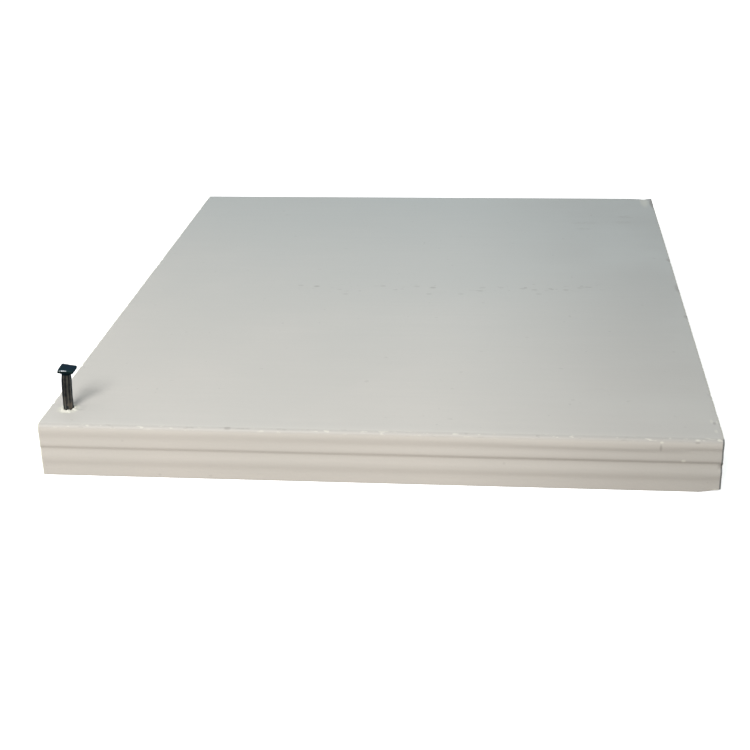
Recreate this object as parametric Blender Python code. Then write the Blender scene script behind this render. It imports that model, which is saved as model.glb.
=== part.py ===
"""Hollow plastic formwork panel, a sample cut from a board, with a nail driven into one corner.

The panel is one extrusion: two skins, two closed long sides and a grid of webs that leaves
three rows of cells running from end to end. Metres, +Z up. X runs along the cells, Y across
them, and the origin is the middle of the underside.
"""

import math

import bmesh
import bpy
from mathutils import Matrix, Vector

# Panel, outside
PANEL_LENGTH = 0.220
PANEL_WIDTH = 0.2675
PANEL_THICKNESS = 0.018
TOP_EDGE_RADIUS = 0.0007
BOTTOM_EDGE_RADIUS = 0.0009

# Panel, walls and cells
SKIN = 0.0019
SIDE_WALL = 0.0016
WEB = 0.00115
CELL_ROWS = 3
CELL_PITCH = 0.0059
CELL_ROOF_RADIUS = 0.0012
CELL_FLOOR_RADIUS = 0.0006

# The closed sides sink a little between the heights of the cell roofs
SINK_DEPTH = 0.00030

# Nick broken out of the far top edge, near its right end
NICK_FROM_END = 0.0018
NICK_LENGTH = 0.0057
NICK_WIDTH = 0.0035
NICK_DEPTH = 0.0011

# Nail
NAIL_LENGTH = 0.030
NAIL_STANDS_PROUD = 0.0146
NAIL_DIAMETER = 0.0031
NAIL_FLUTES = 8
NAIL_FLUTE_DEPTH = 0.00022
NAIL_PLAIN_NECK = 0.0010
NAIL_POINT_LENGTH = 0.0042
NAIL_POINT_FLAT = 0.0004
NAIL_HEAD_WIDTH = 0.0056
NAIL_HEAD_CORNER_RADIUS = 0.0008
NAIL_HEAD_RIM = 0.0007
NAIL_HEAD_TAPER = 0.0013
NAIL_HEAD_CHAMFER = 0.00018
NAIL_FROM_LEFT_END = 0.0068
NAIL_FROM_FRONT_SIDE = 0.0126
NAIL_LEAN = math.radians(3.3)
NAIL_HEAD_ASKEW = math.radians(6.0)

# Plastic pushed up round the nail, and the nail's hole
NAIL_CLEARANCE = 0.0003
LIP_WIDTH = 0.0014
LIP_HEIGHT = 0.00055
LIP_CREST_WIDTH = 0.0004

# How finely curves are divided
CELL_CORNER_STEPS = 3
EDGE_STEPS = 4
SINK_STEPS = 7
NAIL_STEPS_PER_FLUTE = 4
LIP_STEPS = 24

# How far a cutter reaches past what it cuts
CUT_PAST = 0.002

PLASTIC_COLOUR = (0.62, 0.61, 0.56, 1.0)
STEEL_COLOUR = (0.030, 0.027, 0.024, 1.0)


def clear_scene():
    """Remove whatever objects the scene starts with."""
    for old in list(bpy.data.objects):
        bpy.data.objects.remove(old, do_unlink=True)


def material(name, colour, roughness, metallic):
    """A plain Principled material."""
    finish = bpy.data.materials.new(name)
    finish.use_nodes = True
    shader = finish.node_tree.nodes["Principled BSDF"]
    shader.inputs["Base Color"].default_value = colour
    shader.inputs["Roughness"].default_value = roughness
    shader.inputs["Metallic"].default_value = metallic
    finish.diffuse_color = colour
    return finish


def add_object(name, build, finish=None):
    """An object whose mesh is what build writes into an empty bmesh."""
    shape = bmesh.new()
    build(shape)
    bmesh.ops.recalc_face_normals(shape, faces=shape.faces)
    mesh = bpy.data.meshes.new(name)
    shape.to_mesh(mesh)
    shape.free()
    result = bpy.data.objects.new(name, mesh)
    bpy.context.scene.collection.objects.link(result)
    if finish:
        mesh.materials.append(finish)
    return result


def add_cutter(name, build):
    """An object that only cuts another, drawn as wire and never rendered."""
    cutter = add_object(name, build)
    cutter.hide_render = True
    cutter.display_type = "WIRE"
    return cutter


def combine(target, operation, other):
    """Cut target with other, or join other to it."""
    step = target.modifiers.new(f"{operation.lower()} {other.name}", "BOOLEAN")
    step.operation = operation
    step.solver = "EXACT"
    step.object = other


def arc(centre_y, centre_z, radius, start, end, steps):
    """Points of an arc in the YZ plane, from one angle to another, in degrees."""
    angles = [math.radians(start + (end - start) * step / steps) for step in range(steps + 1)]
    return [(centre_y + radius * math.cos(a), centre_z + radius * math.sin(a)) for a in angles]


def prism_along_x(shape, outline, length):
    """Extrude a closed YZ outline along X, centred on X = 0."""
    start = [shape.verts.new((-length / 2, y, z)) for y, z in outline]
    face = shape.faces.new(start)
    grown = bmesh.ops.extrude_face_region(shape, geom=[face])
    moved = [item for item in grown["geom"] if isinstance(item, bmesh.types.BMVert)]
    bmesh.ops.translate(shape, verts=moved, vec=(length, 0, 0))


def loft(shape, rings):
    """Skin a stack of rings, each with the same number of points, and cap both ends."""
    rows = [[shape.verts.new(point) for point in ring] for ring in rings]
    for lower, upper in zip(rows, rows[1:]):
        for index in range(len(lower)):
            after = (index + 1) % len(lower)
            shape.faces.new((lower[index], lower[after], upper[after], upper[index]))
    shape.faces.new(list(reversed(rows[0])))
    shape.faces.new(rows[-1])


def cell_height():
    """Clear height of one cell."""
    return (PANEL_THICKNESS - 2 * SKIN - (CELL_ROWS - 1) * WEB) / CELL_ROWS


def cell_columns():
    """How many cells the die sets side by side in this width."""
    return max(1, round((PANEL_WIDTH - 2 * SIDE_WALL + WEB) / CELL_PITCH))


def cell_width():
    """Clear width of one cell, once the cells share out what lies between the sides."""
    clear = PANEL_WIDTH - 2 * SIDE_WALL - (cell_columns() - 1) * WEB
    return clear / cell_columns()


def row_floors():
    """Heights of the floors of the cell rows, from the bottom row up."""
    return [SKIN + row * (cell_height() + WEB) for row in range(CELL_ROWS)]


def cell_outline():
    """One cell: square at its floor, and rounder under its roof, where the hot plastic hung."""
    half = cell_width() / 2
    top = cell_height()
    roof = min(CELL_ROOF_RADIUS, half, top / 2)
    floor = min(CELL_FLOOR_RADIUS, half, top / 2)
    steps = CELL_CORNER_STEPS
    points = arc(half - floor, floor, floor, -90, 0, steps)
    points += arc(half - roof, top - roof, roof, 0, 90, steps)
    points += arc(-half + roof, top - roof, roof, 90, 180, steps)
    points += arc(-half + floor, floor, floor, 180, 270, steps)
    return points


def side_outline():
    """The +Y side from its bottom edge to its top edge, with a sink below each row of roofs."""
    reach = PANEL_WIDTH / 2
    low = BOTTOM_EDGE_RADIUS
    high = TOP_EDGE_RADIUS
    points = arc(reach - low, low, low, -90, 0, EDGE_STEPS)
    roofs = [floor + cell_height() for floor in row_floors()]
    for start, end in zip([low] + roofs, roofs):
        for step in range(1, SINK_STEPS + 1):
            share = step / SINK_STEPS
            sunk = SINK_DEPTH * math.sin(math.pi * share) ** 2
            points.append((reach - sunk, start + share * (end - start)))
    points += arc(reach - high, PANEL_THICKNESS - high, high, 0, 90, EDGE_STEPS)
    return points


def panel_outline():
    """The whole section: one side, and its mirror image."""
    side = side_outline()
    return side + [(-y, z) for y, z in reversed(side)]


def round_cells():
    """The cutter that opens every cell from end to end."""
    reach = PANEL_LENGTH + 2 * CUT_PAST
    cutter = add_cutter("cell_cutter", lambda shape: prism_along_x(shape, cell_outline(), reach))
    pitch = cell_width() + WEB
    cutter.location = (0, -PANEL_WIDTH / 2 + SIDE_WALL + cell_width() / 2, row_floors()[0])
    spread = ((cell_columns(), (0, pitch, 0)), (CELL_ROWS, (0, 0, cell_height() + WEB)))
    for count, offset in spread:
        copies = cutter.modifiers.new("copies", "ARRAY")
        copies.count = count
        copies.use_relative_offset = False
        copies.use_constant_offset = True
        copies.constant_offset_displace = offset
    return cutter


def nick_shape(shape):
    """A wedge across the far top edge. Its two flanks meet in a line from the top face, where the
    nick is widest, down the far side, where it is deepest, and the wedge reaches past both faces."""
    edge_y = PANEL_WIDTH / 2
    middle_x = PANEL_LENGTH / 2 - NICK_FROM_END - NICK_LENGTH / 2
    inner = Vector((middle_x, edge_y - NICK_WIDTH, PANEL_THICKNESS))
    lower = Vector((middle_x, edge_y, PANEL_THICKNESS - NICK_DEPTH))
    middle = (inner + lower) / 2
    points = [2 * inner - lower, 2 * lower - inner]
    for side in (-1, 1):
        end = Vector((middle_x + side * NICK_LENGTH / 2, edge_y, PANEL_THICKNESS))
        points.append(3 * end - 2 * middle)
    bmesh.ops.convex_hull(shape, input=[shape.verts.new(point) for point in points])


def circle_ring(radius, height, count):
    """A level ring of points."""
    turns = [2 * math.pi * step / count for step in range(count)]
    return [Vector((radius * math.cos(t), radius * math.sin(t), height)) for t in turns]


def fluted_ring(radius, flute_depth, height, count):
    """A level ring whose radius dips into the shank's flutes."""
    points = []
    for step in range(count):
        turn = 2 * math.pi * step / count
        dip = flute_depth * (1 - math.cos(NAIL_FLUTES * turn)) / 2
        points.append(Vector(((radius - dip) * math.cos(turn), (radius - dip) * math.sin(turn), height)))
    return points


def square_ring(width, corner_radius, height, count):
    """A level ring in the shape of a square with round corners."""
    flat = width / 2 - corner_radius
    points = []
    for step in range(count):
        turn = 2 * math.pi * step / count
        ray = Vector((math.cos(turn), math.sin(turn)))
        long_side = max(abs(ray.x), abs(ray.y))
        reach = width / 2 / long_side
        over = Vector((abs(ray.x) * reach - flat, abs(ray.y) * reach - flat))
        if over.x > 0 and over.y > 0:
            reach = corner_reach(ray, flat, corner_radius)
        points.append(Vector((ray.x * reach, ray.y * reach, height)))
    return points


def corner_reach(ray, flat, radius):
    """How far a ray from the centre runs until it meets the round corner of a square."""
    middle = flat * (abs(ray.x) + abs(ray.y))
    return middle + math.sqrt(middle ** 2 - 2 * flat ** 2 + radius ** 2)


def tilted(ring, pivot, angle):
    """A ring turned about an axis along Y through the pivot."""
    turn = Matrix.Rotation(angle, 4, "Y")
    return [pivot + turn @ (point - pivot) for point in ring]


def nail_shape(shape):
    """Square head, tapered below, on a fluted shank with a point. The head's top is at Z = 0."""
    count = NAIL_FLUTES * NAIL_STEPS_PER_FLUTE
    radius = NAIL_DIAMETER / 2
    under_head = -NAIL_HEAD_RIM - NAIL_HEAD_TAPER
    shoulder = -NAIL_LENGTH + NAIL_POINT_LENGTH
    fluted_from = under_head - NAIL_PLAIN_NECK
    neck = radius - NAIL_FLUTE_DEPTH / 2
    top_width = NAIL_HEAD_WIDTH - 2 * NAIL_HEAD_CHAMFER
    head = [
        square_ring(top_width, NAIL_HEAD_CORNER_RADIUS, 0, count),
        square_ring(NAIL_HEAD_WIDTH, NAIL_HEAD_CORNER_RADIUS, -NAIL_HEAD_CHAMFER, count),
        square_ring(NAIL_HEAD_WIDTH, NAIL_HEAD_CORNER_RADIUS, -NAIL_HEAD_RIM, count),
    ]
    pivot = Vector((0, 0, under_head))
    shank = [
        circle_ring(neck, under_head, count),
        circle_ring(neck, fluted_from + NAIL_PLAIN_NECK / 2, count),
        fluted_ring(radius, NAIL_FLUTE_DEPTH, fluted_from, count),
        fluted_ring(radius, NAIL_FLUTE_DEPTH, shoulder, count),
        circle_ring(NAIL_POINT_FLAT, -NAIL_LENGTH, count),
    ]
    rings = [tilted(ring, pivot, NAIL_HEAD_ASKEW) for ring in head] + shank
    loft(shape, list(reversed(rings)))


def nail_hole_shape(shape):
    """The nail's shank and point, grown by the clearance, in the nail's own frame."""
    count = NAIL_FLUTES * NAIL_STEPS_PER_FLUTE
    radius = NAIL_DIAMETER / 2 + NAIL_CLEARANCE
    shoulder = -NAIL_LENGTH + NAIL_POINT_LENGTH
    entry = -NAIL_STANDS_PROUD + LIP_HEIGHT + CUT_PAST
    tip = NAIL_POINT_FLAT + NAIL_CLEARANCE
    rings = [
        circle_ring(tip, -NAIL_LENGTH - NAIL_CLEARANCE, count),
        circle_ring(radius, shoulder, count),
        circle_ring(radius, entry, count),
    ]
    loft(shape, rings)


def lip_shape(shape):
    """A low mound of plastic round the nail, rooted in the top skin."""
    hole = NAIL_DIAMETER / 2 + NAIL_CLEARANCE
    foot = hole + LIP_WIDTH
    crest = hole + LIP_CREST_WIDTH
    rings = [
        circle_ring(foot, -SKIN / 2, LIP_STEPS),
        circle_ring(foot, 0, LIP_STEPS),
        circle_ring((foot + crest) / 2, LIP_HEIGHT * 0.7, LIP_STEPS),
        circle_ring(crest, LIP_HEIGHT, LIP_STEPS),
    ]
    loft(shape, rings)


def nail_entry():
    """Where the nail's axis meets the top face."""
    x = -PANEL_LENGTH / 2 + NAIL_FROM_LEFT_END
    y = -PANEL_WIDTH / 2 + NAIL_FROM_FRONT_SIDE
    return Vector((x, y, PANEL_THICKNESS))


def place_on_nail_axis(item):
    """Stand an object that is drawn from the nail's head on the nail's leaning axis."""
    axis = Matrix.Rotation(NAIL_LEAN, 4, "Y") @ Vector((0, 0, 1))
    item.rotation_euler = (0, NAIL_LEAN, 0)
    item.location = nail_entry() + axis * NAIL_STANDS_PROUD


def smooth(item, sharp_angle):
    """Shade round stretches smooth and leave corners sharp."""
    item.data.shade_smooth()
    item.data.set_sharp_from_angle(angle=math.radians(sharp_angle))


def make_panel():
    """The extruded panel, its cells, the nail's hole and lip, and the nick in its far edge."""
    plastic = material("off_white_plastic", PLASTIC_COLOUR, 0.55, 0.0)
    panel = add_object(
        "panel", lambda shape: prism_along_x(shape, panel_outline(), PANEL_LENGTH), plastic)
    lip = add_cutter("nail_lip", lip_shape)
    lip.location = nail_entry()
    hole = add_cutter("nail_hole", nail_hole_shape)
    place_on_nail_axis(hole)
    combine(panel, "DIFFERENCE", round_cells())
    combine(panel, "UNION", lip)
    combine(panel, "DIFFERENCE", hole)
    combine(panel, "DIFFERENCE", add_cutter("edge_nick", nick_shape))
    smooth(panel, 35)
    return panel


def make_nail():
    """The nail, leaning a little towards +X."""
    steel = material("blackened_steel", STEEL_COLOUR, 0.45, 0.9)
    nail = add_object("nail", nail_shape, steel)
    place_on_nail_axis(nail)
    smooth(nail, 30)
    return nail


clear_scene()
make_panel()
make_nail()
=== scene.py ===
"""Hollow plastic formwork panel with a nail in one corner: surfaces, finishes, stage and camera.

Metres, +Z up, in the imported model's frame: X runs along the cells and Y across them.
"""

import math
from functools import cached_property

import bmesh
import bpy
import numpy as np
from bpy.props import FloatProperty, FloatVectorProperty, IntProperty, PointerProperty
from mathutils import Matrix, Vector


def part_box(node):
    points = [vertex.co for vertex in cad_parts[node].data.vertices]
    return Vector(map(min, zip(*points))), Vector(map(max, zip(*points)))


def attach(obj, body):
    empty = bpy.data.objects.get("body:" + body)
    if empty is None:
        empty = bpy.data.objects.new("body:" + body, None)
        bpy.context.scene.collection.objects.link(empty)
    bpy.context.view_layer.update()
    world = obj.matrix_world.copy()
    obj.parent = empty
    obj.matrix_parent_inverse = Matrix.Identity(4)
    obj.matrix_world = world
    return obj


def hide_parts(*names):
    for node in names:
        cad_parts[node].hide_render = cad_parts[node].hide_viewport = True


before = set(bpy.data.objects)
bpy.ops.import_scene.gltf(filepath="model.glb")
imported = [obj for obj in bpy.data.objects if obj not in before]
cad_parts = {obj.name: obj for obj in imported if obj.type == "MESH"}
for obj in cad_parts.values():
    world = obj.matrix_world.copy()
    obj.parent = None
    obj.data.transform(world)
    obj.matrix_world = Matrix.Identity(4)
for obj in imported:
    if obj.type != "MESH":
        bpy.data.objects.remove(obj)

bl_info = {
    "name": "Plastic formwork panel",
    "version": (1, 0, 0),
    "blender": (4, 5, 0),
    "location": "3D View > Sidebar > Formwork",
    "description": "Builds a sawn hollow plastic formwork panel, the nail in it and its stage",
    "category": "Object",
}

PANEL_LOW, PANEL_HIGH = (np.array(corner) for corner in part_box("panel"))
NAIL_LOW, NAIL_HIGH = (np.array(corner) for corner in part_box("nail"))
BODY = "root"


def number(name, description, default, **more):
    """A number."""
    return FloatProperty(name=name, description=description, default=default, **more)


def length(name, description, default):
    """A size in metres, shown in the sidebar with its unit."""
    return number(name, description, default, unit="LENGTH", precision=5)


def angle(name, description, degrees):
    """An angle, given in degrees and kept in radians."""
    return number(name, description, math.radians(degrees), subtype="ANGLE")


def share(name, description, default):
    """A number from 0 to 1."""
    return number(name, description, default, min=0, max=1, subtype="FACTOR")


def power(name, description, default):
    """A lamp's power in watts."""
    return number(name, description, default, unit="POWER")


def whole(name, description, default):
    """A whole number, 1 or more."""
    return IntProperty(name=name, description=description, default=default, min=1)


def colour(name, description, default):
    """A linear colour."""
    return FloatVectorProperty(
        name=name, description=description, default=default, size=3, min=0, max=1, subtype="COLOR")


class PanelLooks(bpy.types.PropertyGroup):
    """Sizes and finish of the extruded panel."""

    thickness: length("Thickness", "Height of the panel between its two faces", 0.0184)
    skin: length("Skin", "Thickness of the top and bottom skins", 0.0019)
    side_wall: length("Side wall", "Thickness of the closed long sides", 0.0016)
    web: length("Web", "Thickness of the webs between the cells", 0.00115)
    rows: whole("Rows", "Rows of cells", 3)
    columns: whole("Columns", "Cells side by side", 45)
    roof_radius: length("Roof radius", "Corner radius under a cell's roof", 0.0012)
    floor_radius: length("Floor radius", "Corner radius at a cell's floor", 0.0006)
    top_edge: length("Top edge", "Radius of the long edges of the top face", 0.0010)
    roll: length("Roll-off", "How far the top face falls away towards its long edges", 0.00010)
    bottom_edge: length("Bottom edge", "Radius of the long edges of the underside", 0.0002)
    lean: length("Lean", "How far the closed sides lean in at the top edge", 0.00040)
    sink: length("Sink", "How far the closed sides sink between the heights of the roofs", 0.00034)
    nick: length("Nick", "Depth of the nick in the far top edge", 0.00045)
    knock: length("Knock", "How far the front right corner of the underside is knocked up", 0.0010)
    burr: length("Burr", "How far the torn edges stand out of the sawn ends", 0.00028)
    flap: length("Flap", "How far the longest torn flaps reach into a cell", 0.0008)
    shreds: whole("Shreds", "Shreds of plastic left at the cells' mouths", 150)
    plastic: colour("Plastic", "Colour of the plastic", (0.655, 0.640, 0.628))
    torn: colour("Torn plastic", "Colour of sawn and torn plastic", (0.76, 0.745, 0.66))
    roughness: share("Roughness", "Roughness of the extruded skin", 0.56)
    seed: whole("Seed", "Seed of the wear", 11)


class NailLooks(bpy.types.PropertyGroup):
    """Sizes and finish of the nail."""

    nail_length: length("Length", "Length of the nail, from head to point", 0.030)
    proud: length("Stands proud", "Height of the head's top over the panel's face", 0.0151)
    diameter: length("Diameter", "Diameter of the shank over its flutes", 0.0034)
    flute: length("Flute", "Depth of the flutes", 0.00022)
    flutes: whole("Flutes", "Number of flutes", 8)
    head: length("Head", "Width of the square head", 0.0052)
    head_corner: length("Head corner", "Corner radius of the head", 0.00045)
    rim: length("Rim", "Height of the head's upright rim", 0.0010)
    taper: length("Taper", "Height of the taper under the head", 0.0013)
    point: length("Point", "Length of the point", 0.0042)
    lean: angle("Lean", "How far the shank leans towards +X", 3.3)
    askew: angle("Askew", "How far the head is knocked over towards +X", 6.0)
    bow: length("Bow", "How far the shank bows towards -X between head and panel", 0.00020)
    bent: length("Bent corner", "How far the head's front left corner is bent down", 0.00055)
    from_end: length("From end", "Distance of the nail from the panel's left end", 0.0068)
    from_side: length("From side", "Distance of the nail from the panel's front side", 0.0126)
    steel: colour("Steel", "Colour of the shank where its flutes are worn", (0.140, 0.140, 0.120))
    black: colour("Blackening", "Colour of the shank between its flutes", (0.003, 0.006, 0.014))
    bluing: colour("Bluing", "Colour of the blackened head", (0.014, 0.030, 0.031))
    # Painted highlight: colour of the glint painted on the front of the head's rim
    bright: colour("Bright", "Colour of the bare steel at the head's worn edge", (0.80, 0.84, 0.88))
    bloom: colour("Bloom", "Colour of the brown bloom on the shank", (0.150, 0.125, 0.100))


class StageLooks(bpy.types.PropertyGroup):
    """Floor, lights and camera."""

    floor: share("Floor", "Lightness of the floor", 0.93)
    bounce: colour("Bounce", "Colour of the light that the floor throws back", (0.31, 0.275, 0.245))
    ambient: number("Ambient", "Light from all round", 0.325)
    ambient_tint: colour("Ambient tint", "Colour of the light from all round", (0.90, 0.99, 1.0))
    key: power("Key", "Power of the key light at the front left", 6.6)
    key_tint: colour("Key tint", "Colour of both lights", (1.0, 0.985, 0.955))
    key_size: length("Key size", "Side of the square key light", 0.32)
    key_reach: length("Key reach", "Distance of the key light from the nailed corner", 0.85)
    key_turn: angle("Key turn", "Where the key light stands, turned from +X", 261)
    key_height: angle("Key height", "How high the key light stands over the floor", 41)
    fill: power("Fill", "Power of the broad light over the left end", 1.25)
    fill_size: length("Fill size", "Side of the broad square light", 1.0)
    focal_pixels: number("Focal length", "Focal length in pixels of the photograph", 1349.7)
    yaw: angle("Yaw", "Camera turned towards +X", -6.351)
    pitch: angle("Pitch", "Camera looking down", 23.575)
    roll: angle("Roll", "Camera rolled", -1.469)


# Arrays and meshes


def waves(seed, points, size, count=10):
    """Smooth noise of about unit height: a sum of cosines, each along a random direction and with
    a wavelength of roughly the given size, at random phases. points is an array (..., dimensions)."""
    draw = np.random.default_rng(seed)
    total = np.zeros(points.shape[:-1])
    for _ in range(count):
        heading = draw.normal(size=points.shape[-1])
        heading *= 2 * np.pi / (np.linalg.norm(heading) * size * draw.uniform(0.7, 1.6))
        total += np.cos(points @ heading + draw.uniform(0, 2 * np.pi))
    return total * math.sqrt(2 / count) / 1.5


def together(*parts):
    """Arrays of coordinates as one array of points."""
    return np.stack(parts, axis=-1)


def fade(distance, reach):
    """1 at no distance, falling evenly to 0 at the reach."""
    return np.clip(1 - distance / reach, 0, 1)


def bands(rings):
    """Quads between neighbouring closed rings of point numbers, an array (ring, ..., point)."""
    inner, outer = rings[1:], rings[:-1]
    after_outer, after_inner = np.roll(outer, -1, axis=-1), np.roll(inner, -1, axis=-1)
    return together(outer, after_outer, after_inner, inner).reshape(-1, 4)


def capped(rings, start=0):
    """Points and faces of stacked rings (ring, point, xyz), numbered from start, each end closed
    by a fan to its middle. The rings run from low to high and turn counter-clockwise from above."""
    numbers = start + np.arange(rings[..., 0].size).reshape(rings.shape[:-1])
    low, high = start + numbers.size, start + numbers.size + 1
    first, last = numbers[0].tolist(), numbers[-1].tolist()
    fans = [[low, b, a] for a, b in zip(first, first[1:] + first[:1])]
    fans += [[high, a, b] for a, b in zip(last, last[1:] + last[:1])]
    middles = np.stack([rings[0].mean(0), rings[-1].mean(0)])
    return np.concatenate([rings.reshape(-1, 3), middles]), bands(numbers).tolist() + fans


def turned(heights, radii, count):
    """Rings (ring, point, xyz) of a turned surface, (r cos t, r sin t, z). Heights and radii are
    given for each ring, or for each point of each ring."""
    turn = 2 * np.pi * np.arange(count) / count
    z, radii = (np.broadcast_to(np.reshape(values, (len(values), -1)), (len(values), count))
                for values in (heights, radii))
    return together(radii * np.cos(turn), radii * np.sin(turn), z)


def new_mesh(name, points, faces):
    """A mesh from an array of points and lists of point numbers."""
    mesh = bpy.data.meshes.new(name)
    mesh.from_pydata(points.tolist(), [], [list(face) for face in faces])
    return mesh


def added(name, data):
    """A new object of the scene with this data."""
    item = bpy.data.objects.new(name, data)
    bpy.context.scene.collection.objects.link(item)
    return item


def mesh_piece(name, points, faces, finish, slot, sharp):
    """A smooth-shaded object from points and faces, with its finish. The argument slot is not used.
    """
    mesh = new_mesh(name, points, faces)
    mesh.validate()
    mesh.materials.append(finish)
    piece = added(name, mesh)
    shade(piece, sharp)
    return piece


def shade(piece, sharp):
    """Shade a piece smooth, with edges over an angle in degrees left sharp."""
    piece.data.shade_smooth()
    piece.data.set_sharp_from_angle(angle=math.radians(sharp))


def outward(mesh):
    """Turn a closed mesh's faces outward."""
    shape = bmesh.new()
    shape.from_mesh(mesh)
    bmesh.ops.recalc_face_normals(shape, faces=shape.faces)
    shape.to_mesh(mesh)
    shape.free()


def cut(piece, operation, points, faces):
    """Apply a Boolean with a closed tool of these points and faces, and remove the tool."""
    tool = added("tool", new_mesh("tool", points, faces))
    outward(tool.data)
    step = piece.modifiers.new("cut", "BOOLEAN")
    step.operation = operation
    step.solver = "EXACT"
    step.object = tool
    bpy.context.view_layer.update()
    result = bpy.data.meshes.new_from_object(
        piece.evaluated_get(bpy.context.evaluated_depsgraph_get()))
    piece.modifiers.clear()
    old, piece.data = piece.data, result
    bpy.data.meshes.remove(old)
    bpy.data.objects.remove(tool)


# Materials


class Level:
    """The value that a node puts out. Its arithmetic adds Math nodes."""

    def __init__(self, nodes, socket):
        self.nodes, self.socket = nodes, socket

    def math(self, operation, *values):
        """A Math node's result."""
        return self.nodes.add("Math", enumerate(values), operation=operation)

    def __add__(self, other):
        return self.math("ADD", self, other)

    def __sub__(self, other):
        return self.math("SUBTRACT", self, other)

    def __rsub__(self, other):
        return self.math("SUBTRACT", other, self)

    def __mul__(self, other):
        return self.math("MULTIPLY", self, other)

    def __or__(self, other):
        """The larger of the two."""
        return self.math("MAXIMUM", self, other)

    __ror__ = __or__

    def __abs__(self):
        return self.math("ABSOLUTE", self)


class Nodes:
    """The node tree of a material or a world, with short calls for its nodes."""

    def __init__(self, owner):
        owner.use_nodes = True
        self.tree = owner.node_tree

    def add(self, kind, values=(), output=0, **settings):
        """The output of a new node with these settings, after its inputs, by number or name, have
        been given their values."""
        node = self.tree.nodes.new("ShaderNode" + kind)
        for name, setting in settings.items():
            setattr(node, name, setting)
        self.feed(node, dict(values))
        return Level(self, node.outputs[output])

    def feed(self, node, values):
        """Link a node's inputs to levels, or set them to a number, a colour or a place."""
        for key, value in values.items():
            socket = node.inputs[key]
            if isinstance(value, Level):
                self.tree.links.new(value.socket, socket)
            elif socket.type == "RGBA":
                socket.default_value = (*value, 1.0)
            else:
                socket.default_value = value

    @cached_property
    def place(self):
        """The place on the object."""
        return self.add("TexCoord", output="Object")

    def axes(self):
        """The three coordinates of the place on the object."""
        split = self.add("SeparateXYZ", {0: self.place})
        return [Level(self, output) for output in split.socket.node.outputs]

    def vector(self, operation, *values, output=0):
        """A Vector Math node's result."""
        return self.add("VectorMath", enumerate(values), output, operation=operation)

    def noise(self, scale, detail=2.0, roughness=0.5, stretch=None):
        """Noise from 0 to 1, of that many features to the metre, or fewer along a short axis of
        the stretch."""
        place = self.vector("MULTIPLY", self.place, stretch) if stretch else self.place
        return self.add("TexNoise", {
            "Vector": place, "Scale": scale, "Detail": detail, "Roughness": roughness}, "Fac")

    def span(self, *values):
        """A value moved smoothly from one range to another, or to 0 and 1, and held at its ends."""
        return self.add("MapRange", enumerate(values), interpolation_type="SMOOTHSTEP")

    def mix(self, factor, first, second, blend="MIX"):
        """A mix of two colours."""
        return self.add("Mix", {0: factor, 6: first, 7: second}, 2,
                        data_type="RGBA", blend_type=blend)

    def spot(self, centre, reach):
        """1 inside an ellipsoid at that place, falling to 0 at its surface."""
        away = self.vector("DIVIDE", self.vector("SUBTRACT", self.place, centre), reach)
        return self.span(self.vector("LENGTH", away, output="Value"), 1.0, 0.35)

    def bump(self, height, distance, strength, under=None):
        """A bump from a height from 0 to 1 that stands for a distance in metres."""
        below = {"Normal": under} if under else {}
        return self.add("Bump", {
            "Height": height, "Distance": distance, "Strength": strength, **below})


class Finish(Nodes):
    """A material with one Principled shader."""

    def __init__(self, name, roughness, metallic=0.0, specular=0.5):
        self.material = bpy.data.materials.new(name)
        super().__init__(self.material)
        self.surface({
            "Roughness": roughness, "Metallic": metallic, "Specular IOR Level": specular})

    def surface(self, values):
        """Set or link inputs of the shader."""
        self.feed(self.tree.nodes["Principled BSDF"], values)


BLACK, WHITE = (0.0, 0.0, 0.0), (1.0, 1.0, 1.0)
GRIME = (0.16, 0.14, 0.13)
DUST = (0.16, 0.15, 0.14)
SHADE = (0.06, 0.07, 0.08)
# Tints of the plastic: faint blotches; painted light, warm like the key lamp at the near left, and
# painted shade, cool at the far right; and painted shade on the sides
PALE_BLOTCH, DARK_BLOTCH = (1.018, 1.012, 1.004), (0.970, 0.975, 0.970)
PAINTED_KEY_WARMTH, PAINTED_SHADE_COOLNESS = (1.0, 0.985, 0.955), (0.93, 1.0, 1.02)
SIDE_PAINTED_SHADE = (0.970, 0.945, 0.922)

# Dark and pale marks on the panel, most of them scuffs and chips: centre and reach in millimetres,
# and strength
DARK_MARKS = (
    (95.2, 101.6, 18, 4.5, 3, 2, 0.24),
    (93.5, 93, 18, 6, 2.6, 2, 0.18),
    (75.8, 91.7, 18, 8.5, 2.6, 2, 0.15),
    (75.3, 82.5, 18, 4.5, 2.4, 2, 0.15),
    (-47, -133, 18.4, 1.6, 1.2, 0.9, 0.3),
    (101.8, -133.7, 17.2, 1.1, 1, 0.5, 0.26),
    (90.6, -133.7, 15.2, 0.6, 1, 1.6, 0.3),
    # A dark spot at the tip of the nick
    (109.2, 133, 18.2, 2.6, 5, 3, 0.85),
    (109.7, 124, 18.4, 1.8, 11, 2.4, 0.6),
    (108.2, -121.7, 18.4, 0.7, 1.5, 1, 0.3),
    (109.6, 39.5, 18.4, 1.6, 3, 1.4, 0.34),
    (109.6, 4, 18.4, 1.6, 6, 1.4, 0.3),
    (109.6, -27.8, 18.4, 1.4, 3, 1.4, 0.26),
    (109.8, -132.5, 16, 1, 2, 3, 0.34),
)
LIGHT_MARKS = (
    # A pale patch in the nick
    (106, 127, 18, 2.8, 12, 2, 0.36),
    (90.8, -133.7, 17.1, 0.8, 1, 0.5, 0.6),
    (97.8, -133.7, 10.8, 1, 1, 0.8, 0.5),
    (101.8, -133.7, 18, 1.3, 1.2, 0.5, 0.5),
    (108.5, -133.7, 0.8, 1.6, 1.2, 0.7, 0.6),
    (107.5, -120.3, 18, 0.8, 2.2, 2, 0.3),
    (109.2, -120.8, 18, 0.6, 1.6, 2, 0.25),
    (108.1, -127.5, 18, 0.8, 1.8, 2, 0.3),
)
# Dark marks longer than this along X, in millimetres, are broken up by a rubbed grain
RUBBED_FROM = 2.0
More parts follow.
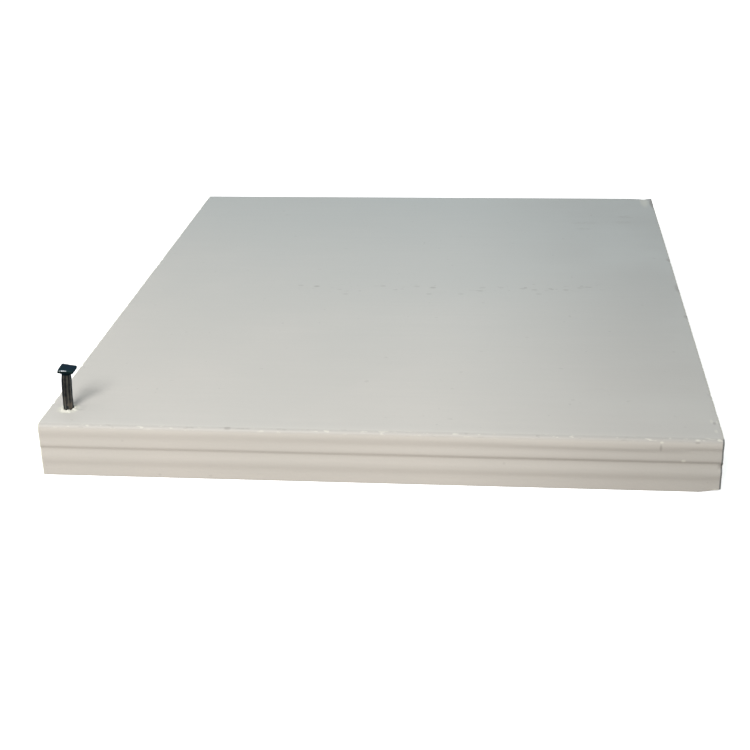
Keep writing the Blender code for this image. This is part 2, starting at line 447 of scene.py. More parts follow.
# Larger specks across the middle of the top: place along X and Y in metres, and strength
SPECKS = (
    (-0.0435, 0.0022, 0.14), (-0.0368, 0.0014, 0.30), (-0.0238, -0.0073, 0.12),
    (-0.0095, 0.0027, 0.15), (0.0044, 0.0026, 0.13), (0.0111, 0.0014, 0.28),
    (0.0100, -0.0061, 0.14), (0.0228, -0.0056, 0.12), (0.0314, 0.0022, 0.14),
    (0.0387, 0.0024, 0.12), (0.0523, 0.0002, 0.18), (0.0540, -0.0045, 0.14),
    (0.0649, 0.0006, 0.20), (0.0706, 0.0032, 0.16),
)
SPECK_REACH = (0.0017, 0.0012, 0.001)
TORN_ROUND_NAIL = (0.0050, 0.0050, 0.0030)


def plastic_finish(looks, nail_place):
    """Off-white extruded plastic: faint blotches and streaks along the cells, painted light and shade
    for the lamps' fall-off (warm at the near left, cool, and darker towards the back and the far
    right), painted shade on the sides and their top edges with painted light on bands of the sides,
    scuffs, a line of fine specks across the top, flecks on the front top edge, paler torn plastic at
    the sawn ends and round the nail, and a dark line down the right end."""
    finish = Finish("off_white_plastic", looks.roughness)
    span, noise, mix, spot, bump = finish.span, finish.noise, finish.mix, finish.spot, finish.bump
    half = (PANEL_HIGH[0] - PANEL_LOW[0]) / 2
    x, y, z = finish.axes()
    plain = np.array(looks.plastic)

    def tinted(colour, tint):
        return mix(1.0, colour, tint, "MULTIPLY")

    def marked(mark):
        return spot(np.array(mark[:3]) / 1000, np.array(mark[3:6]) / 1000) * mark[6]

    blotch = span(noise(17.0, 3.0), 0.30, 0.70)
    fine = span(noise(900.0, 3.0, 0.6), 0.25, 0.75)
    streak = span(noise(420.0, 3.0, 0.55, (0.05, 1, 1)), 0.25, 0.75)
    colour = mix(blotch, plain * DARK_BLOTCH, plain * PALE_BLOTCH)
    colour = mix(streak * 0.20, colour, plain * 0.93)
    colour = mix(fine * 0.12, colour, plain * 0.88)
    # Painted light and shade: warm like the key lamp towards the near left, cool like the shade
    # towards the far right
    colour = mix(span(x * 0.45 + y, -0.16, 0.16), tinted(colour, PAINTED_KEY_WARMTH), tinted(colour, PAINTED_SHADE_COOLNESS))
    # Painted shade: darker towards the back and towards the far right, in patches, for the key lamp's
    # fall-off
    patchy = blotch * 0.5 + 0.75
    colour = mix(span(y, -0.040, 0.134) * patchy * 0.055, colour, BLACK)
    colour = mix(span(x, 0.010, 0.115) * patchy * 0.195, colour, BLACK)

    # The line of specks runs along X, slightly askew, and stray specks lie all over
    band = span(abs(y - (x * 0.036 + 0.0006)), 0.0064, 0.0020)
    reach = span(abs(x - 0.0185), 0.068, 0.058)
    dust = span(noise(430.0, 2.0, 0.6, (0.50, 0.8, 1)), 0.60, 0.66)
    speck = dust * band * span(noise(95.0, 1.0), 0.35, 0.65, 0.35, 1.5) * reach
    dark = speck * 0.17 | span(noise(420.0, 0.0), 0.82, 0.85) * 0.10
    for along, across, strength in SPECKS:
        dark = dark | spot((along, across, looks.thickness), SPECK_REACH) * strength
    colour = mix(dark, colour, DUST)

    # Painted shade darkens the sides and their top edge, painted light lightens bands of the sides,
    # and the top edge has flecks
    side = abs(y)
    on_side = span(side, 0.1300, 0.1335) * span(z, 0.0186, 0.0165)
    # Painted shade: the sides are darker and warmer
    colour = mix(on_side, colour, tinted(colour, SIDE_PAINTED_SHADE))
    # Painted light: the middle band of the sides is lightened a little away from the right end, and
    # the upper band more and more towards the right
    middle = span(z, 0.0085, 0.0115) * span(z, 0.0170, 0.0150) * span(x, 0.095, 0.060, 0.0, 0.02)
    upper = span(z, 0.0142, 0.0158) * span(x, 0.0, 0.080, 0.0, 0.10)
    colour = mix((middle + upper) * on_side, colour, tinted(colour, (2.0, 2.0, 2.0)))
    edge = span(side, 0.1318, 0.1330) * span(z, 0.0168, 0.0180)
    dash = noise(900.0, 2.0, 0.6, (0.26, 1, 1))
    # Painted shade darkens the long top edges, hiding the highlight of their rounding
    colour = mix(edge * 0.20, colour, BLACK)
    colour = mix(span(dash, 0.38, 0.33) * edge * 0.22, colour, (0.20, 0.19, 0.17))

    sawn = span(half - abs(x), 0.00055, 0.00015)
    ragged = span(spot(nail_place, TORN_ROUND_NAIL) + fine * 0.4, 0.30, 0.90)
    creamy = sawn | ragged * 0.85 | span(dash, 0.60, 0.65) * edge * 0.45
    for mark in LIGHT_MARKS:
        creamy = creamy | marked(mark)
    colour = mix(creamy, colour, looks.torn)

    last = span(x, half - 0.00070, half - 0.00038) * span(x, half, half - 0.00006)
    outer = span(z, 0.0176, 0.0180, 0.0, 0.20) | span(y, -0.1324, -0.1330, 0.0, 0.85)
    rub = span(noise(1300.0, 3.0, 0.7, (0.5, 1, 1)), 0.42, 0.60)
    grimy = 0.0
    for mark in DARK_MARKS:
        grimy = grimy | (marked(mark) * rub if mark[3] > RUBBED_FROM else marked(mark))
    colour = mix(grimy, colour, GRIME)
    colour = mix(last * outer, colour, SHADE)

    gloss = span(noise(30.0, 2.0, 0.4), 0.2, 0.8, looks.roughness - 0.015, looks.roughness + 0.015)
    saw = noise(2600.0, 3.0, 0.7, (1, 1, 0.10))
    normal = bump(noise(950.0, 3.0), 0.00004, 0.5)
    normal = bump(streak, 0.00004, 0.45, normal)
    normal = bump(saw * sawn, 0.00018, 0.8, normal)
    finish.surface({"Base Color": colour, "Roughness": gloss + sawn * 0.2, "Normal": normal})
    return finish.material


def torn_finish(looks):
    """Torn plastic: paler than the panel's skin, with a rough grain."""
    finish = Finish("torn_plastic", 0.62)
    grain = finish.noise(2200.0, 3.0, 0.7)
    torn = np.array(looks.torn)
    finish.surface({"Base Color": finish.mix(finish.span(grain, 0.3, 0.7), torn * 0.82, torn),
                    "Normal": finish.bump(grain, 0.00008, 0.6)})
    return finish.material


def steel_finish(looks, face_height):
    """Blackened hardened steel: a blue-black head with a painted glint on the front of its rim, and a
    shank with drawing marks along it, worn grey on its flutes' crests, black between them and brown
    near the panel."""
    finish = Finish("blackened_steel", 0.34, 0.85)
    span, noise, mix = finish.span, finish.noise, finish.mix
    above = finish.axes()[2] - face_height
    crest, edge = (finish.add("Attribute", output="Fac", attribute_name=name)
                   for name in ("crest", "painted_glint"))
    drawn = noise(2400.0, 3.0, 0.6, (1, 1, 0.06))
    patch = noise(700.0, 4.0, 0.65)
    worn = span(crest, 0.15, 0.75) * span(drawn, 0.25, 0.65) * span(patch, 0.2, 0.6, 0.55, 1.0)
    shank = mix(worn * 0.86 + 0.14, looks.black, looks.steel)
    bloom = span(patch, 0.42, 0.62) * (span(above, 0.0062, 0.0012) + 0.12)
    shank = mix(bloom * 0.75, shank, looks.bloom)
    neck = looks.proud - looks.rim - looks.taper
    colour = mix(span(above, neck - 0.0004, neck + 0.0002), shank, looks.bluing)
    # Painted highlight: a pale glint, broken by noise, on the front of the head's rim
    colour = mix(edge * span(noise(900.0, 2.0, 0.6), 0.36, 0.50), colour, looks.bright)
    normal = finish.bump(patch, 0.00004, 0.4, finish.bump(drawn, 0.00005, 0.6))
    finish.surface({"Specular Tint": (0.15, 0.36, 0.54), "Base Color": colour,
                    "Roughness": span(patch, 0.3, 0.7, 0.30, 0.55), "Normal": normal})
    return finish.material


# The panel


def loop(across, upright):
    """Steps round a lattice of that size, along its floor, up, back along its roof, and down."""
    def there_and_back(steps, rest):
        return np.concatenate([np.arange(steps), np.full(rest, steps),
                               np.arange(steps, 0, -1), np.zeros(rest, int)])

    return there_and_back(across, upright), np.roll(there_and_back(upright, across), across)


def rounded(dy, dz, half_y, half_z, top, bottom, inward=0.0):
    """Places on a rectangle's outline, from its middle, with its corners rounded: the nearest
    point of the rectangle that the corners' centres span, and out from there by radius - inward."""
    radius = np.where(dz > 0, top, bottom)
    core = np.stack([np.clip(dy, radius - half_y, half_y - radius),
                     np.clip(dz, radius - half_z, half_z - radius)])
    out = np.stack([dy, dz]) - core
    return core + out / np.maximum(np.hypot(*out), 1e-9) * (radius - inward)


# The sides' sinks in the bottom, middle and top row: where they begin and where they are deepest,
# as shares of the way down to the next roof, and their shares of the full depth
SINK_BEGINS, SINK_DEEPEST, SINK_DEPTHS = (0.05, 0.05, 0.115), (0.38, 0.30, 0.53), (0.42, 1.0, 0.48)
# The nick: distances from the right end, and shares of its depth there
NICK_PLACES, NICK_DEPTHS = (0.0014, 0.0022, 0.0040, 0.0068, 0.0096), (0, 1, 0.85, 0.55, 0)
# How far from the long edges the face and the sides still bend
EDGE_REACH = 0.004


class Section:
    """The panel's section in the YZ plane, as points on a lattice of cells.

    Each cell is a loop of points numbered round it, from the corner at its floor on the front
    side. A loop exists at two sizes: on the webs' middle lines, shared with the cell's neighbours,
    and on the cell's own wall."""

    across = 5
    upright = 16

    def __init__(self, looks):
        self.looks = looks
        self.low = PANEL_LOW[1]
        self.high = PANEL_HIGH[1]
        inside = self.high - self.low - 2 * looks.side_wall
        self.cell_width = (inside - (looks.columns - 1) * looks.web) / looks.columns
        open_height = looks.thickness - 2 * looks.skin - (looks.rows - 1) * looks.web
        self.cell_height = open_height / looks.rows
        self.lattice_y = self.lines(
            self.low, self.high, looks.side_wall, self.cell_width, looks.columns, self.across)
        self.lattice_z = self.lines(
            0.0, looks.thickness, looks.skin, self.cell_height, looks.rows, self.upright)
        self.loop_y, self.loop_z = loop(self.across, self.upright)

    def lines(self, low, high, wall, clear, count, steps):
        """Coordinates of the lattice along one axis: even steps between the webs' middles, and
        steps that crowd towards the outside in the first and the last cell."""
        pitch = clear + self.looks.web
        middles = low + wall + clear + self.looks.web / 2 + pitch * np.arange(count - 1)
        ends = np.concatenate([[low], middles, [high]])
        even = np.arange(steps) / steps
        spread = np.tile(even, (count, 1))
        spread[0] = even ** 1.5
        spread[-1] = 1 - (1 - even) ** 1.5
        inner = ends[:-1, None] + spread * np.diff(ends)[:, None]
        return np.append(inner.ravel(), high)

    def numbers(self):
        """Lattice line numbers (row, column, point) of every cell's shared loop."""
        rows = np.arange(self.looks.rows)[:, None, None]
        columns = np.arange(self.looks.columns)[None, :, None]
        return np.broadcast_arrays(
            columns * self.across + self.loop_y, rows * self.upright + self.loop_z)

    def sunk(self, z, x):
        """How far the closed sides sink at a height and a place along the panel. From each roof's
        height down to the next, a smooth step goes in fast and another comes out slowly. The
        middle row sinks most. The sinks deepen towards +X, where the top one also begins lower,
        except near the end."""
        looks = self.looks
        roofs = looks.skin + self.cell_height + (self.cell_height + looks.web) * np.arange(looks.rows)
        crests = np.concatenate([[looks.bottom_edge], roofs])
        row = np.clip(np.searchsorted(crests, z) - 1, 0, looks.rows - 1)
        down = np.clip((crests[row + 1] - z) / (crests[row + 1] - crests[row]), 0, 1)
        level = row / max(looks.rows - 1, 1)
        begin, deepest, factor = (
            np.interp(level, (0, 0.5, 1), shares)
            for shares in (SINK_BEGINS, SINK_DEEPEST, SINK_DEPTHS))
        top, near_end = np.interp(level, (0.5, 1), (0, 1)), np.clip((x - 0.094) / 0.004, 0, 1)
        begin = begin + top * (0.20 * np.clip(x / 0.035 - 1.1, 0, 1) - 0.14 * near_end)
        deepest = deepest - 0.15 * top * near_end
        growth = np.where(
            top > 0, np.interp(x, (-0.04, 0.05), (-0.45, 0.45)), 0.15 * x / PANEL_HIGH[0])
        place = together(x, row * 0.4)
        depth = looks.sink * factor * (1 + growth + 0.12 * waves(looks.seed + 3, place, 0.11))
        part = np.where(
            down < deepest, (down - begin) / (deepest - begin), (1 - down) / (1 - deepest))
        part = np.clip(part, 0, 1)
        return depth * part ** 2 * (3 - 2 * part)

    def skin_point(self, y, z, x, worn):
        """Move outer lattice points onto the rounded edges and the sunk sides, and in by worn."""
        looks = self.looks
        middle_y, half_y = (self.low + self.high) / 2, (self.high - self.low) / 2
        half_z = looks.thickness / 2
        dy, dz = y - middle_y, z - half_z
        on_side = np.abs(dy) > half_y - 1e-9
        inward = np.where(on_side, self.sunk(z, x), 0.0) + worn
        new_y, new_z = rounded(dy, dz, half_y, half_z, looks.top_edge, looks.bottom_edge, inward)
        near_side = fade(half_y - np.abs(dy), EDGE_REACH)
        new_z = new_z + half_z - looks.roll * near_side ** 2 * np.clip(dz / EDGE_REACH, 0, 1)
        rise = fade(looks.thickness - new_z, 0.0023) ** 1.25
        new_y = new_y + middle_y - np.sign(dy) * looks.lean * rise * near_side
        return self.broken(new_y, new_z, x)

    def broken(self, y, z, x):
        """Damage to the skin. The nick lowers the far top edge by a depth that grows along X and
        ends in a steep wall, less and less down the side and inward. The knock lifts the front
        right corner of the underside, less and less along X, Y and Z."""
        looks = self.looks
        place = together(x, y, z)
        end = PANEL_HIGH[0] - x
        along = np.interp(end, NICK_PLACES, NICK_DEPTHS)
        inward, down = fade(self.high - y, 0.0034), fade(looks.thickness - z, 0.0030)
        ragged = 1 + 0.30 * waves(looks.seed + 50, place, 0.0022)
        nick = looks.nick * along * inward ** 0.7 * down * ragged
        y = y - 0.35 * nick * (self.high - y < 0.0012)
        z = z - nick
        near_front = fade(y - self.low, 0.008)
        uneven = 1 + 0.15 * waves(looks.seed + 60, place, 0.003)
        knock = looks.knock * fade(end, 0.0068) * near_front * fade(z, 0.006) * uneven
        return y + 0.3 * knock * near_front, z + knock

    def cell_wall(self):
        """Points (row, column, point) of the cells' walls, the lattice loop as a rectangle with
        rounded corners, and the cells' middles."""
        looks = self.looks
        half_y, half_z = self.cell_width / 2, self.cell_height / 2
        dy, dz = 2 * self.loop_y / self.across - 1, 2 * self.loop_z / self.upright - 1
        wall_y, wall_z = rounded(
            dy * half_y, dz * half_z, half_y, half_z, looks.roof_radius, looks.floor_radius)
        middle_y = (self.low + looks.side_wall + half_y
                    + (self.cell_width + looks.web) * np.arange(looks.columns)[None, :, None])
        middle_z = (looks.skin + half_z
                    + (self.cell_height + looks.web) * np.arange(looks.rows)[:, None, None])
        return *np.broadcast_arrays(middle_y + wall_y, middle_z + wall_z), middle_y, middle_z


def torn_edges(section, seed):
    """For every point of every cell's mouth, how far a burr stands out of the end and how far a
    flap reaches into the cell. Burrs are smooth noise along the edge. A flap is the square of a
    cosine a few points wide, in one cell out of four, mostly at the roof and the upper corners."""
    looks = section.looks
    draw = np.random.default_rng(seed)
    shape = (looks.rows, looks.columns)
    count = len(section.loop_y)
    roof = section.across + section.upright + section.across / 2
    rough = draw.uniform(0, 1, (*shape, count))
    rough = (rough + np.roll(rough, 1, -1)) / 2
    burr = looks.burr * rough ** 2 * draw.uniform(0.5, 1.6, (*shape, 1))
    flap = looks.flap * 0.14 * draw.uniform(0, 1, (*shape, count)) ** 3
    for _ in range(2):
        middle = draw.normal(roof, 9, (*shape, 1))
        width = draw.uniform(1.2, 3.2, (*shape, 1))
        reach = looks.flap * draw.uniform(0.15, 1, (*shape, 1)) ** 2
        reach = reach * (draw.uniform(0, 1, (*shape, 1)) < 0.15)
        gap = np.abs((np.arange(count) - middle + count / 2) % count - count / 2)
        bump = np.cos(np.pi / 2 * np.clip(gap / width, 0, 1)) ** 2
        flap = np.maximum(flap, reach * bump * (0.8 + 0.4 * rough))
        burr = np.maximum(burr, 0.35 * reach * bump)
    return burr, flap


CHIP_SIZE = 0.0032
CHIP_DEPTH = 0.0007
CHIP_LEVEL = 0.70


def chips(looks, end, y, z):
    """How deep the rim of a sawn end is chipped at a place: noise that a limit cuts off."""
    place = together(y, z)
    noise = waves(looks.seed + 40 + end, place, CHIP_SIZE)
    return CHIP_DEPTH * np.clip(noise - CHIP_LEVEL, 0, 1)


# Rings into a cell: depth in metres, and shares of the flap, the burr and the uneven sawing
MOUTH_RINGS = ((0.0, 0.0, -0.10, 1), (0.0, 1.0, -1.0, 1), (0.00014, 0.85, -0.35, 1),
               (0.0008, 0.12, 0.0, 0), (0.0050, 0.0, 0.0, 0))
MOUTH_SHIFT = 0.00010
SAW_UNEVEN = 0.00007
WALL_WOBBLE = 0.00006


def panel_rings(section, end):
    """Rings of points into the cells from one end, from the shared loop to deep inside, as arrays
    (row, column, point, xyz). end is -1 or 1."""
    seed = section.looks.seed + 100 + end
    wall_y, wall_z, middle_y, middle_z = section.cell_wall()
    number_y, number_z = section.numbers()
    web = np.stack([section.lattice_y[number_y], section.lattice_z[number_z]])
    place = together(wall_y, wall_z)
    shift = MOUTH_SHIFT * np.stack([waves(seed, place, 0.016), waves(seed + 7, place, 0.016)])
    burr, flap = torn_edges(section, seed)
    toward = np.stack([middle_y - wall_y, middle_z - wall_z])
    toward = toward / np.hypot(*toward)
    uneven = SAW_UNEVEN * waves(seed + 11, place, 0.009)
    rings = []
    for index, (depth, flap_share, burr_share, uneven_share) in enumerate(MOUTH_RINGS):
        deeper = np.insert(place, 2, depth, axis=-1)
        wobble = WALL_WOBBLE * waves(seed + 20, deeper, 0.004) * (index > 1)
        wall = np.stack([wall_y, wall_z]) + shift + toward * (flap * flap_share + wobble)
        if index == 0:
            wall = 0.62 * wall + 0.38 * web
        sunk = depth + burr * burr_share + uneven * uneven_share
        rings.append(together(end * (PANEL_HIGH[0] - sunk), *wall))
    return rings


# Stations along the outer skin: distances from an end, and at the right end through its damage
NEAR_END = np.array([0.00022, 0.0006, 0.0013, 0.0025])
THROUGH_DAMAGE = np.array([0.0016, 0.0023, 0.0031, 0.0040, 0.0050, 0.0060, 0.0071, 0.0084, 0.0097])
WORN_RIM = 0.00008


def panel_mesh(looks):
    """Points and quads of the whole panel. Each cell is a tunnel of rings from one end to the
    other. At each end it joins a lattice that it shares with its neighbours, and the lattice's
    outer loop is carried along X as the outer skin."""
    section = Section(looks)
    low_x, high_x = PANEL_LOW[0], PANEL_HIGH[0]
    lines_y, lines_z = len(section.lattice_y), len(section.lattice_z)
    number_y, number_z = section.numbers()
    lattice = number_z * lines_y + number_y
    used, shared = np.unique(lattice, return_inverse=True)
    shared = shared.reshape(lattice.shape)
    node_y, node_z = section.lattice_y[used % lines_y], section.lattice_z[used // lines_y]
    rim_y, rim_z = loop(lines_y - 1, lines_z - 1)
    rim = np.searchsorted(used, rim_z * lines_y + rim_y)
    on_rim = np.zeros(len(used), bool)
    on_rim[rim] = True
    points, total = [], 0

    def add(block):
        """Keep a block of points, and return their numbers in the block's shape."""
        nonlocal total
        numbers = np.arange(total, total + block[..., 0].size).reshape(block.shape[:-1])
        total += numbers.size
        points.append(block.reshape(-1, 3))
        return numbers

    tunnels, ends = {}, {}
    for end in (1, -1):
        rough = 0.00006 * waves(looks.seed + 30 + end, together(node_y, node_z), 0.006)
        worn = np.where(on_rim, WORN_RIM + chips(looks, end, node_y, node_z), 0.0)
        y, z = section.skin_point(node_y, node_z, np.full(node_y.shape, end * high_x), worn)
        y, z = np.where(on_rim, y, node_y), np.where(on_rim, z, node_z)
        ends[end] = add(together(end * (high_x - np.abs(rough)), y, z))
        tunnels[end] = [ends[end][shared]] + [add(ring) for ring in panel_rings(section, end)]
    cells = np.stack(tunnels[1] + tunnels[-1][::-1])

    stations = np.concatenate([low_x + NEAR_END, np.linspace(low_x + 0.004, high_x - 0.011, 24),
                               high_x - THROUGH_DAMAGE[::-1], high_x - NEAR_END[2::-1]])
    x = np.repeat(stations[:, None], len(rim), axis=1)
    y, z = (np.broadcast_to(line, x.shape)
            for line in (section.lattice_y[rim_y], section.lattice_z[rim_z]))
    worn = sum(fade(np.abs(end * high_x - x), 0.0012) * chips(looks, end, y, z) for end in (-1, 1))
    skin = add(together(x, *section.skin_point(y, z, x, worn)))
    skin = np.concatenate([ends[-1][rim][None], skin, ends[1][rim][None]])
    return np.concatenate(points), np.concatenate([bands(cells), bands(skin)])


SHRED_RINGS = 8
SHRED_THICK = 0.00004


def shred(draw, root, inward, outward):
    """One shred: a ribbon on a path that leaves the cell's edge across its mouth and curls back,
    p(s) = root + r (sin(s/r) inward + flat (1 - cos(s/r)) outward), with a twisted cross-section
    that narrows to its tip. Returns rings of four points."""
    curl = draw.uniform(0.0005, 0.0012)
    turn = np.linspace(0, draw.uniform(1.0, 3.6), SHRED_RINGS)[:, None]
    flat = draw.uniform(0.15, 0.40)
    path = root + curl * (np.sin(turn) * inward + flat * (1 - np.cos(turn)) * outward)
    tangent = np.gradient(path, axis=0)
    tangent /= np.linalg.norm(tangent, axis=1, keepdims=True)
    side = np.cross(tangent, outward + 0.3 * draw.normal(size=3))
    side /= np.linalg.norm(side, axis=1, keepdims=True)
    up = np.cross(side, tangent)
    twist = draw.uniform(0, 1.6) * turn
    side, up = side * np.cos(twist) + up * np.sin(twist), up * np.cos(twist) - side * np.sin(twist)
    taper = np.linspace(1, 0.35, SHRED_RINGS)[:, None] ** 0.6
    wide = draw.uniform(0.00012, 0.00032) * taper * side
    thin = SHRED_THICK * taper * up
    return np.stack([path + wide, path + thin, path - wide, path - thin], axis=1)


def swarf_mesh(looks):
    """Shreds of plastic that hang from the edges of the cells' mouths at both sawn ends."""
    wall_y, wall_z, middle_y, middle_z = Section(looks).cell_wall()
    draw = np.random.default_rng(looks.seed + 80)
    points, faces, total = [], [], 0
    for _ in range(looks.shreds):
        end = draw.choice((-1, 1))
        spot = tuple(draw.integers(0, n) for n in wall_y.shape)
        root = np.array([end * (PANEL_HIGH[0] - 0.0001), wall_y[spot], wall_z[spot]])
        across = np.array([0, middle_y[0, spot[1], 0] - root[1], middle_z[spot[0], 0, 0] - root[2]])
        inward = across / np.linalg.norm(across) + 0.35 * draw.normal(size=3) * (0, 1, 1)
        inward /= np.linalg.norm(inward)
        rings = shred(draw, root - 0.00015 * inward, inward, np.array([end, 0.0, 0.0]))
        new_points, new_faces = capped(rings, total)
        points.append(new_points)
        faces += new_faces
        total += len(new_points)
    return np.concatenate(points), faces


LIP_HEIGHT = 0.00036
LIP_WIDTH = 0.00125
LIP_ROOT = -0.0009
LIP_SHIFT = (0.00055, -0.00020)
# Shares of the lip's width and height, from its root over its crest to the nail
LIP_PROFILE = ((1.0, 0.0), (1.0, 0.0), (0.80, 0.28), (0.55, 0.70), (0.32, 0.95), (0.12, 1.0),
               (-0.10, 0.80))


def lip_tool(looks, seed):
    """The plastic pushed up round the nail: a turned mound whose height and width vary round it,
    pushed over towards the front right."""
    count = 72
    turn = 2 * np.pi * np.arange(count) / count
    circle = together(np.cos(turn), np.sin(turn))
    high = LIP_HEIGHT * (1 + 0.45 * waves(seed, circle, 1.1) + 0.28 * waves(seed + 1, circle, 0.35))
    wide = LIP_WIDTH * (1 + 0.32 * waves(seed + 2, circle, 1.3) + 0.24 * waves(seed + 3, circle, 0.3))
    out, up = np.array(LIP_PROFILE).T[..., None]
    rings = turned(high * up, looks.diameter / 2 + wide * out, count)
    rings[0, :, 2] = LIP_ROOT
    rings[..., :2] += np.maximum(out, 0)[..., None] * LIP_SHIFT
    return capped(rings)


# The nail


def nail_entry(scene):
    """Where the nail goes into the panel's face."""
    looks = scene.formwork_nail
    return (PANEL_LOW[0] + looks.from_end, PANEL_LOW[1] + looks.from_side,
            scene.formwork_panel.thickness)


def placed(scene, points):
    """Points drawn from the top of the nail's head, down -Z, carried to the nail's place."""
    looks = scene.formwork_nail
    turn = np.array(Matrix.Translation(nail_entry(scene)) @ Matrix.Rotation(looks.lean, 4, "Y")
                    @ Matrix.Translation((0, 0, looks.proud)))
    return points @ turn[:3, :3].T + turn[:3, 3]


def square_radius(turn, width, corner):
    """Distance from the middle to the outline of a square with round corners, at each turn."""
    flat = width / 2 - corner
    ray = np.abs(np.stack([np.cos(turn), np.sin(turn)]))
    straight = width / 2 / ray.max(0)
    middle = flat * ray.sum(0)
    curved = middle + np.sqrt(np.maximum(middle ** 2 - 2 * flat ** 2 + corner ** 2, 0))
    return np.where((ray * straight > flat).all(0), curved, straight)


# The head's top and edge: height over the head's top, and share of its width
HEAD_TOP = ((0.00002, 0.10), (0.00003, 0.45), (0.0, 0.80), (-0.00002, 0.93), (-0.00006, 0.975),
            (-0.00018, 1.0), (-0.00040, 1.0))
RIM_EDGE = (-0.00040, -0.00018, 0.0)
UNDER_RIM = 0.985
COLLAR = 0.0003
FLUTES_BEGIN = 0.0009
POINT_RADIUS = 0.0003
HEAD_OFF_CENTRE = 0.00012
DENT = 0.00003


def nail_mesh(looks):
    """The nail, drawn down -Z from its head's top: rings whose radius goes from the square head
    through a taper to a round neck, then to a circle less a cosine flute, then to the point.
    The head's rings turn about the neck, so that the head sits askew, and have small dents."""
    count = looks.flutes * 10
    turn = 2 * np.pi * np.arange(count) / count
    radius = looks.diameter / 2
    square = square_radius(turn, looks.head, looks.head_corner)
    flutes = radius - looks.flute * ((1 + np.cos(looks.flutes * turn)) / 2) ** 0.8
    neck = np.full(count, radius - looks.flute / 2)
    bottom = looks.rim + looks.taper
    rows = [(height, square * part) for height, part in HEAD_TOP]
    rows += [(-looks.rim + 0.0001, square), (-looks.rim, square * UNDER_RIM)]
    for step in np.linspace(0.15, 1, 6):
        ease = step ** 0.8
        rows.append((-looks.rim - looks.taper * step,
                     square * (UNDER_RIM - UNDER_RIM * ease) + neck * ease))
    rows.append((-bottom - COLLAR, neck))
    shoulder = looks.point - looks.nail_length
    for step in np.linspace(0, 1, 48):
        blend = min(1.0, step * 10)
        height = -bottom - FLUTES_BEGIN + (shoulder + bottom + FLUTES_BEGIN) * step
        rows.append((height, neck * (1 - blend) + flutes * blend))
    for step in (0.35, 0.7, 0.93, 1.0):
        rows.append((shoulder - looks.point * step, flutes * (1 - step) + POINT_RADIUS * step))
    heights, radii = zip(*rows[::-1])
    rings = turned(heights, radii, count)
    z = rings[..., 2].copy()
    head = np.clip((z + bottom + 0.0002) / 0.0006, 0, 1)
    rings += DENT * together(*(waves(seed, rings, 0.0021) for seed in (61, 62, 63)))

    crest = np.broadcast_to((1 - np.cos(looks.flutes * turn)) / 2, z.shape)
    # Painted highlight: worn is the mask of a glint on the upper front edge of the head's rim,
    # strongest left of its middle
    along = np.abs(rings[..., 0] / looks.head + 0.15)
    front = (rings[..., 1] < -0.42 * looks.head) & (z < 0)
    worn = front * np.interp(z, RIM_EDGE, (0, 1, 0)) * np.clip(1.5 - along / 0.18, 0, 1)

    corner = np.clip(-(rings[..., 0] + rings[..., 1]) / looks.head, 0, 1)
    rings[..., 2] -= looks.bent * head * corner ** 2
    rings[..., 0] -= looks.bow * np.sin(np.pi * np.clip(-z / looks.proud, 0, 1))
    rings[..., 0] += HEAD_OFF_CENTRE * head
    x, y, z = np.moveaxis(rings + (0, 0, bottom), -1, 0)
    cos, sin = np.cos(looks.askew * head), np.sin(looks.askew * head)
    tipped = together(x * cos + z * sin, y, z * cos - x * sin - bottom)
    return *capped(tipped), np.append(crest.ravel(), (0, 0)), np.append(worn.ravel(), (0, 0))


# Steps

PANEL_SHARP = 40
SWARF_SHARP = 60
NAIL_SHARP = 32
HOLE_GAP = 0.00004
HOLE_DEEPER = 0.0003
HOLE_POINT = 0.0006
HOLE_TOP = 0.004


class FORMWORK_OT_panel(bpy.types.Operator):
    """Build the extruded panel with its cells, sunk sides, torn ends, shreds, nick and nail hole"""

    bl_idname = "formwork.panel"
    bl_label = "Panel"

    def execute(self, context):
        looks, nail = context.scene.formwork_panel, context.scene.formwork_nail
        entry = nail_entry(context.scene)
        piece = mesh_piece("sawn_panel", *panel_mesh(looks), plastic_finish(looks, entry),
                           "panel_plastic", PANEL_SHARP)
        points, faces = lip_tool(nail, looks.seed)
        cut(piece, "UNION", points + entry, faces)
        radius = nail.diameter / 2 + HOLE_GAP
        heights = (-nail.nail_length - HOLE_DEEPER, nail.point - nail.nail_length,
                   HOLE_TOP - nail.proud)
        points, faces = capped(turned(heights, (HOLE_POINT, radius, radius), 48))
        cut(piece, "DIFFERENCE", placed(context.scene, points), faces)
        shade(piece, PANEL_SHARP)
        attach(piece, BODY)
        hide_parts("panel")
        swarf = mesh_piece(
            "end_swarf", *swarf_mesh(looks), torn_finish(looks), "panel_plastic", SWARF_SHARP)
        outward(swarf.data)
        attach(swarf, BODY)
        return {"FINISHED"}


class FORMWORK_OT_nail(bpy.types.Operator):
    """Build the fluted nail with its square head"""

    bl_idname = "formwork.nail"
    bl_label = "Nail"

    def execute(self, context):
        looks = context.scene.formwork_nail
        points, faces, crest, worn = nail_mesh(looks)
        finish = steel_finish(looks, context.scene.formwork_panel.thickness)
        piece = mesh_piece("driven_nail", placed(context.scene, points), faces, finish,
                           "nail_steel", NAIL_SHARP)
        # worn carries the mask of the painted highlight on the head's rim
        for name, values in (("crest", crest), ("painted_glint", worn)):
            piece.data.attributes.new(name, "FLOAT", "POINT").data.foreach_set("value", values)
        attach(piece, BODY)
        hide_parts("nail")
        return {"FINISHED"}


PHOTO_PIXELS = 750
CAMERA_PLACE = (0.0441, -0.5173, 0.2067)
FILL_PLACE = (-0.55, -0.35, 0.60)
FLOOR_REACH = 30.0
FLOOR_GLOW = 0.75


